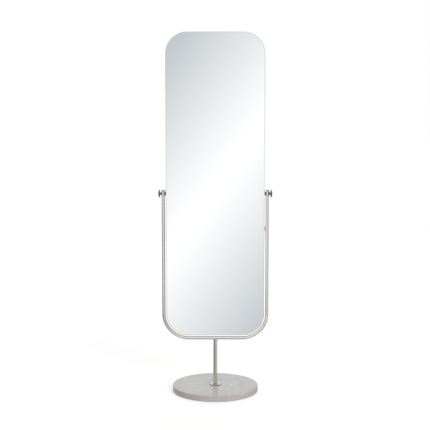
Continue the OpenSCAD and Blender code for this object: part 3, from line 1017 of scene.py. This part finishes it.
paper = new_material("black_board_paper", Specular_IOR_Level=0.3)
pulp = grain(paper, 1300, 5, warp=0.5)
mottle = grain(paper, 16, 5, warp=0.8)
rollers = grain(paper, 60, 2, stretch=(1, 1, 0.03))
shade = weigh((pulp, 0.45), (mottle, 0.35), (rollers, 0.20))
finish_surface(
    paper,
    colour=ramp(shade, (0.34, (0.040, 0.038, 0.036)), (0.66, (0.078, 0.075, 0.071))),
    roughness=spread(pulp, 0.62, 0.82),
    height=pulp, depth=0.00006)
hand_over(board, "back_board", "mirror", "board", paper, "backing_board", smooth=30)
chips = {"scale": 1900, "detail": 5, "warp": 0.8}
core = grained(
    "sawn_board_core", (0.20, 0.135, 0.080), (0.37, 0.265, 0.170), soft=chips, fine=chips,
    shine=(0.8, 1.0), depth=0.0002, Specular_IOR_Level=0.2)
also(board, core, lambda face: abs(face.normal.y) < 0.9)

# ---- Pivot blocks ----
# Milled aluminium blocks inside both sides of the frame, threaded across for the pivot studs.
# Two screws through the rear lip hold each.
block_ease = 0.0005
stud_radius = 0.003
stud_bore = 0.00308
stud_drill = 0.06
block_screw_bore = 0.00155
block_screw_drill = 0.020

block = block_between(block_low, block_high)
ease_edges(block, block_ease, 3)
drills = [rod(stud_bore, stud_drill, (block_low.x, 0, pivot_height), "x")]
for across, height in block_screw_places[2:]:
    drills.append(rod(block_screw_bore, block_screw_drill, (across, frame_high.y, height), "y"))
cut_with(block, *drills)
other_block = copy_at(block, (-(block_low.x + block_high.x), 0, 0))

milled = grained(
    "milled_aluminium", (0.56, 0.565, 0.57), (0.68, 0.685, 0.69),
    soft={"scale": 120, "detail": 4, "warp": 0.7},
    fine={"scale": 1900, "detail": 2, "stretch": (1, 1, 0.06)},
    shine=(0.28, 0.44), depth=0.00002, Metallic=1.0)
hand_over(block, "right_block", "mirror", "frame_aluminium", milled, "right_pivot_block")
hand_over(other_block, "left_block", "mirror", "frame_aluminium", milled, "left_pivot_block")

# ---- Splice bar and screws ----
# A flat steel bar in the bottom of the channel joins its two ends. Pan-head screws with a cross
# recess go through the rear lip: one into the bar each side of the seam, and two into each pivot
# block. All are zinc plated.
dress(zinc, "frame_splice")
block_screw_diameter = 0.003
block_screw_length = 0.009
splice_screw_diameter = 0.004
splice_screw_length = 0.0065
screw_head = 0.0014


def pan_screw(diameter, length):
    """A screw along Z. Its head stands on z = 0 and its shank points down."""
    head_radius = 0.9 * diameter
    screw = round_blank(48, head_radius, 0, screw_head)
    ease_edges(screw, 0.6 * screw_head, 5, above=screw_head / 2)
    pick_end(screw, -1)
    bpy.ops.mesh.inset(thickness=head_radius - diameter / 2)
    pull((0, 0, -length))
    ease_edges(screw, 0.12 * diameter, 1, below=-0.9 * length)
    long_half, short_half, recess = 0.52 * diameter, 0.11 * diameter, 0.6 * screw_head
    for half_x, half_y in ((long_half, short_half), (short_half, long_half)):
        cut_with(screw, block_between(
            (-half_x, -half_y, screw_head - recess), (half_x, half_y, 2 * screw_head)))
    return screw


def drive_in(screw, places, name, node):
    """Puts a copy of a screw into the rear lip at each place, and hands it over."""
    for count, (across, height) in enumerate(places, 1):
        driven = copy_at(screw, (across, frame_high.y, height), (math.radians(-90), 0, 0))
        hand_over(driven, f"{name}_{count}", "mirror", "zinc_steel", zinc, node, smooth=30)
    bpy.data.objects.remove(screw)


block_screw = pan_screw(block_screw_diameter, block_screw_length)
drive_in(block_screw, block_screw_places, "block_screw", "pivot_block_screws")
splice_screw = pan_screw(splice_screw_diameter, splice_screw_length)
drive_in(splice_screw, splice_screw_places, "splice_screw", "splice_screws")

# ---- Spring clips ----
# Strips of spring steel, bent so that one end goes under the frame's rear lip and the other
# presses the board forward. There are four at each side, and two each at top and bottom.
clip_thickness = 0.0006
clip_width = 0.014
under_lip = frame_high.y - lip_thickness - fit_gap - clip_thickness / 2
on_board = board_high.y + fit_gap + clip_thickness / 2
clip_start = -0.0022
clip_heel = -0.00785
clip_toe = -0.01435
clip_tip = -0.0192
clip_curl = (-0.0022, 0.0016, 0)
clip_bend = 0.0012
clip_ease = 0.0001
side_clip_heights = (0.4125, 0.6525, 1.0025, 1.2725)
end_clip_reach = 0.072

clip = new_shape(
    "plane", (clip_start - clip_heel, clip_width, 1), size=1, rotation=(math.radians(90), 0, 0),
    location=((clip_start + clip_heel) / 2, under_lip, 0))
pick(clip, "edges", lambda edge: middle(edge).x < clip_heel + hair)
pull((clip_toe - clip_heel, on_board - under_lip, 0))
pull((clip_tip - clip_toe, 0, 0))
pull(clip_curl)
pick(clip, "edges", lambda edge: len(edge.link_faces) == 2)
bpy.ops.mesh.bevel(offset=clip_bend, segments=5, affect="EDGES")
work(clip, "SOLIDIFY", thickness=clip_thickness, offset=0.0, use_rim=True, use_even_offset=True)
ease_edges(clip, clip_ease, 1)

seats = [((frame_high.x, 0, height), 0) for height in side_clip_heights]
seats += [((frame_low.x, 0, height), 180) for height in side_clip_heights]
for reach in (-end_clip_reach, end_clip_reach):
    seats += [((reach, 0, frame_high.z), -90), ((reach, 0, frame_low.z), 90)]

spring_steel = grained(
    "spring_steel", (0.46, 0.455, 0.45), (0.60, 0.60, 0.60),
    soft={"scale": 150, "detail": 4, "warp": 1.0},
    fine={"scale": 1800, "detail": 3, "stretch": (0.04, 1, 1)},
    shine=(0.24, 0.40), depth=0.00001, Metallic=1.0)
for count, (seat, turn) in enumerate(seats, 1):
    pressed = copy_at(clip, seat, (0, math.radians(turn), 0))
    name = f"board_clip_{count}"
    hand_over(pressed, name, "mirror", "zinc_steel", spring_steel, "spring_clips", smooth=40)
bpy.data.objects.remove(clip)

# ---- Spacers ----
# Turned rings of black nylon on the pivot studs. They keep the frame off the arms, and turn with
# the mirror when it tilts.
spacer_ease = 0.0004
spacer = turn_ring("right_spacer", "x", stud_hole_radius, spacer_ease)
black_nylon = grained(
    "black_nylon", (0.060, 0.058, 0.055), (0.095, 0.092, 0.088),
    soft={"scale": 150, "detail": 4, "warp": 1.0}, fine={"scale": 2800, "detail": 3},
    shine=(0.42, 0.62), depth=0.00003, Specular_IOR_Level=0.4)
hand_over_pair(spacer, "distance_ring", "spacer", "mirror", "black_nylon", black_nylon)

# ---- Knob washers ----
# Thin nylon washers under the knobs' necks, so that the knobs don't mark the arms. They move out
# along the studs with the knobs, and don't turn.
thrust_ease = 0.0002
thrust_ring = turn_ring("right_knob_washer", "x", stud_hole_radius, thrust_ease)
hand_over_pair(thrust_ring, "thrust_ring", "knob_washer", "{}_washer", "black_nylon", black_nylon)

# ---- Knobs ----
# Turned steel knobs, plated dark: a flat disc with rounded rims on a short neck. Screwed in by
# hand, they clamp the arms and hold the mirror at its tilt.
knob_low, knob_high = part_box("right_knob")
knob_radius = knob_high.y
knob_round = 0.0015
disc_thickness = 0.006
neck_length = knob_high.x - knob_low.x - disc_thickness
neck_radius = 0.005
knob_bore = 0.00305

knob = round_blank(128, knob_radius, neck_length, neck_length + disc_thickness)
ease_edges(knob, knob_round, 6)
pick_end(knob, -1)
bpy.ops.mesh.inset(thickness=knob_radius - knob_round - neck_radius)
pull((0, 0, -neck_length))
ease_edges(knob, broken_edge, 2, below=neck_length / 2)
bore(knob, knob_bore, knob_radius - knob_round, neck_radius - broken_edge)
place_at(knob, (knob_low.x, 0, pivot_height), (0, math.radians(90), 0))
knob_nickel = dark_plated("dark_knob_nickel", (0.155, 0.147, 0.137), 0.14, 0.26)
hand_over_pair(knob, "knob_disc", "knob", "{}_knob", "dark_nickel", knob_nickel)

# ---- Pivot studs ----
# Threaded steel rods, glued into the knobs. They pass through the bushes and screw into the
# blocks inside the frame, and the mirror turns on them.
stud_low, stud_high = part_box("right_knob_stud")
stud_ease = 0.0004
thread_pitch = 0.001

stud = rod(stud_radius, stud_high.x - stud_low.x, (stud_low + stud_high) / 2, "x", sides=64)
ease_edges(stud, stud_ease, 2)

threaded = new_material("threaded_zinc", Metallic=1.0)
spot = where_on(threaded)
spot = feed("ShaderNodeSeparateXYZ", {0: spot}).outputs
round_axis = maths("ARCTAN2", maths("SUBTRACT", spot["Z"], pivot_height), spot["Y"])
phase = weigh((spot["X"], 1 / thread_pitch), (round_axis, 0.5 / math.pi))
oil = grain(threaded, 400, 4)
finish_surface(
    threaded,
    colour=ramp(oil, (0.3, (0.50, 0.505, 0.50)), (0.7, (0.64, 0.64, 0.62))),
    roughness=spread(oil, 0.26, 0.42),
    height=maths("PINGPONG", phase, 0.5), depth=0.0006)
hand_over_pair(stud, "pivot_stud", "knob_stud", "{}_knob", "zinc_steel", threaded)

# ---- Knob caps ----
# Small domed plugs, turned from steel and plated like the knobs. They are pressed into the knobs'
# bores over the studs' ends.
dome_low, dome_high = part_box("right_knob_cap")
dome_radius = dome_high.y
dome_rise = dome_high.x - knob_high.x
knob_cap = domed_plug(dome_radius, 0.0, dome_rise, stud_radius - fit_gap, knob_high.x - dome_low.x)
place_at(knob_cap, (knob_high.x, 0, pivot_height), (0, math.radians(90), 0))
hand_over_pair(knob_cap, "knob_dome", "knob_cap", "{}_knob", "dark_nickel", knob_nickel)
